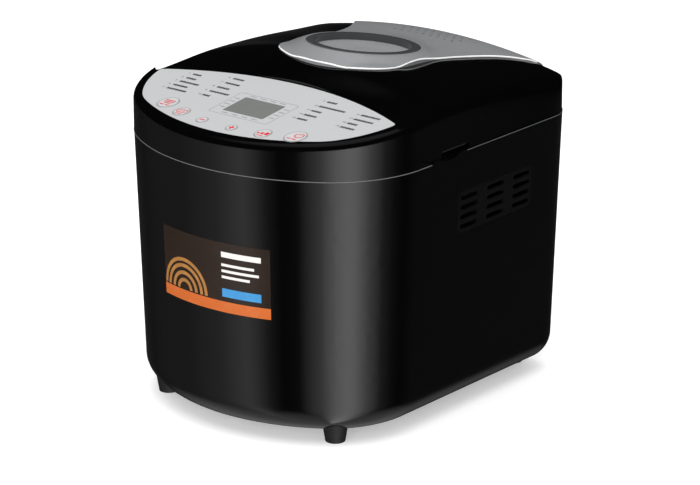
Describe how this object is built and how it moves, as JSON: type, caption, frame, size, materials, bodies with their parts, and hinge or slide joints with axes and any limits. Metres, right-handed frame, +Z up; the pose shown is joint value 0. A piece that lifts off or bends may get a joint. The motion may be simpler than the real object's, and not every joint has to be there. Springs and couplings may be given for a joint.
{
  "type": "bread machine",
  "caption": "Upright bread machine with a bowed front, tilted control panel, hinged windowed lid, lift-out pan with a bail handle and a belt-driven kneading paddle.",
  "frame": {"origin": "centre of the footprint at the bottom of the feet", "axes": "+Z up, -Y towards the front with the control panel, +X towards the side whose vent the picture shows"},
  "size_m": [0.268, 0.312, 0.2842],
  "materials": {
    "gloss_black_abs": "moulded gloss",
    "vent_abs": "moulded satin",
    "silver_panel": "silver paint",
    "silver_trim": "silver paint",
    "button_silver": "silver paint",
    "smoke_ring": "moulded gloss",
    "window_glass": "clear",
    "display_lens": "clear over a grey cell",
    "display_cell": "moulded",
    "foot_rubber": "moulded",
    "grey_rubber": "moulded",
    "belt_rubber": "moulded",
    "base_plastic": "moulded",
    "deck_plastic": "moulded",
    "oven_sheet": "rolled sheet",
    "zinc_steel": "zinc plated",
    "bright_steel": "drawn",
    "heater_sheath": "oxidised",
    "ceramic": "fired",
    "non_stick": "non-stick coat",
    "die_cast": "as cast",
    "bearing_bronze": "sintered",
    "pulley_nylon": "moulded",
    "motor_steel": "painted",
    "circuit_board": "lacquered",
    "board_plastic": "moulded",
    "lid_sheet": "rolled sheet"
  },
  "bodies": {
    "base": {"lower_body": "gloss_black_abs", "base_plate": "base_plastic", "base_screws": "bright_steel", "feet": "foot_rubber", "top_deck": "deck_plastic", "right_vent": "vent_abs", "left_vent": "vent_abs", "control_housing": "gloss_black_abs", "panel_plate": "silver_panel", "display_window": "display_lens", "display_module": "display_cell", "control_board": "circuit_board", "button_switches": "board_plastic", "oven_liner": "oven_sheet", "heating_element": "heater_sheath", "heater_bushes": "ceramic", "heater_clips": "zinc_steel", "temperature_probe": "zinc_steel", "thermal_fuse": "ceramic", "pan_seat": "zinc_steel", "drive_bearing": "bearing_bronze", "chassis_plate": "zinc_steel", "motor": "motor_steel", "motor_mounts": "grey_rubber", "drive_belt": "belt_rubber", "power_board": "circuit_board", "board_spacers": "board_plastic", "board_parts": "board_plastic", "cord_bush": "grey_rubber", "hinge_brackets": "zinc_steel", "hinge_pins": "bright_steel"},
    "lid": {"lid_shell": "gloss_black_abs", "lid_trim": "silver_trim", "window_ring": "smoke_ring", "window_glass": "window_glass", "lid_liner": "lid_sheet", "inner_glass": "window_glass", "lid_screws": "bright_steel"},
    "pan": {"bread_pan": "non_stick", "pan_ring": "die_cast", "pan_bush": "bearing_bronze", "shaft_seal": "grey_rubber"},
    "handle": {"pan_handle": "bright_steel"},
    "blade": {"pan_shaft": "bright_steel", "pan_coupling": "die_cast", "kneading_paddle": "non_stick"},
    "drive": {"drive_shaft": "bright_steel", "drive_coupling": "die_cast", "drive_pulley": "pulley_nylon"},
    "rotor": {"motor_shaft": "bright_steel", "motor_pulley": "pulley_nylon"},
    "menu": {"menu_button": "button_silver"},
    "crust": {"crust_button": "button_silver"},
    "minus": {"minus_button": "button_silver"},
    "plus": {"plus_button": "button_silver"},
    "size": {"size_button": "button_silver"},
    "start": {"start_button": "button_silver"}
  },
  "joints": [
    {"name": "lid_hinge", "type": "hinge", "parent": "base", "child": "lid", "pos_m": [0, 0.1513, 0.228], "axis": [-1, 0, 0], "range_deg": [0, 82]},
    {"name": "menu_press", "type": "slide", "parent": "base", "child": "menu", "axis": [0, 0.1271, -0.9919], "range_m": [0, 0.0008], "stiffness_N_per_m": 800},
    {"name": "crust_press", "type": "slide", "parent": "base", "child": "crust", "axis": [0, 0.1271, -0.9919], "range_m": [0, 0.0008], "stiffness_N_per_m": 800},
    {"name": "minus_press", "type": "slide", "parent": "base", "child": "minus", "axis": [0, 0.1271, -0.9919], "range_m": [0, 0.0008], "stiffness_N_per_m": 800},
    {"name": "plus_press", "type": "slide", "parent": "base", "child": "plus", "axis": [0, 0.1271, -0.9919], "range_m": [0, 0.0008], "stiffness_N_per_m": 800},
    {"name": "size_press", "type": "slide", "parent": "base", "child": "size", "axis": [0, 0.1271, -0.9919], "range_m": [0, 0.0008], "stiffness_N_per_m": 800},
    {"name": "start_press", "type": "slide", "parent": "base", "child": "start", "axis": [0, 0.1271, -0.9919], "range_m": [0, 0.0008], "stiffness_N_per_m": 800},
    {"name": "pan_lift", "type": "slide", "parent": "base", "child": "pan", "axis": [0, 0, 1], "range_m": [0, 0.018]},
    {"name": "handle_swing", "type": "hinge", "parent": "pan", "child": "handle", "pos_m": [0, 0.037, 0.199], "axis": [-1, 0, 0], "range_deg": [0, 52]},
    {"name": "drive_spin", "type": "hinge", "parent": "base", "child": "drive", "pos_m": [0, 0.037, 0.03], "axis": [0, 0, 1], "continuous": true},
    {"name": "motor_spin", "type": "hinge", "parent": "base", "child": "rotor", "pos_m": [0, -0.091, 0.03], "axis": [0, 0, 1], "continuous": true},
    {"name": "paddle_spin", "type": "hinge", "parent": "pan", "child": "blade", "pos_m": [0, 0.037, 0.09], "axis": [0, 0, 1], "continuous": true}
  ],
  "couplings": [
    {"joint": "motor_spin", "follows": "drive_spin", "ratio": 5},
    {"joint": "paddle_spin", "follows": "drive_spin", "ratio": 1}
  ]
}
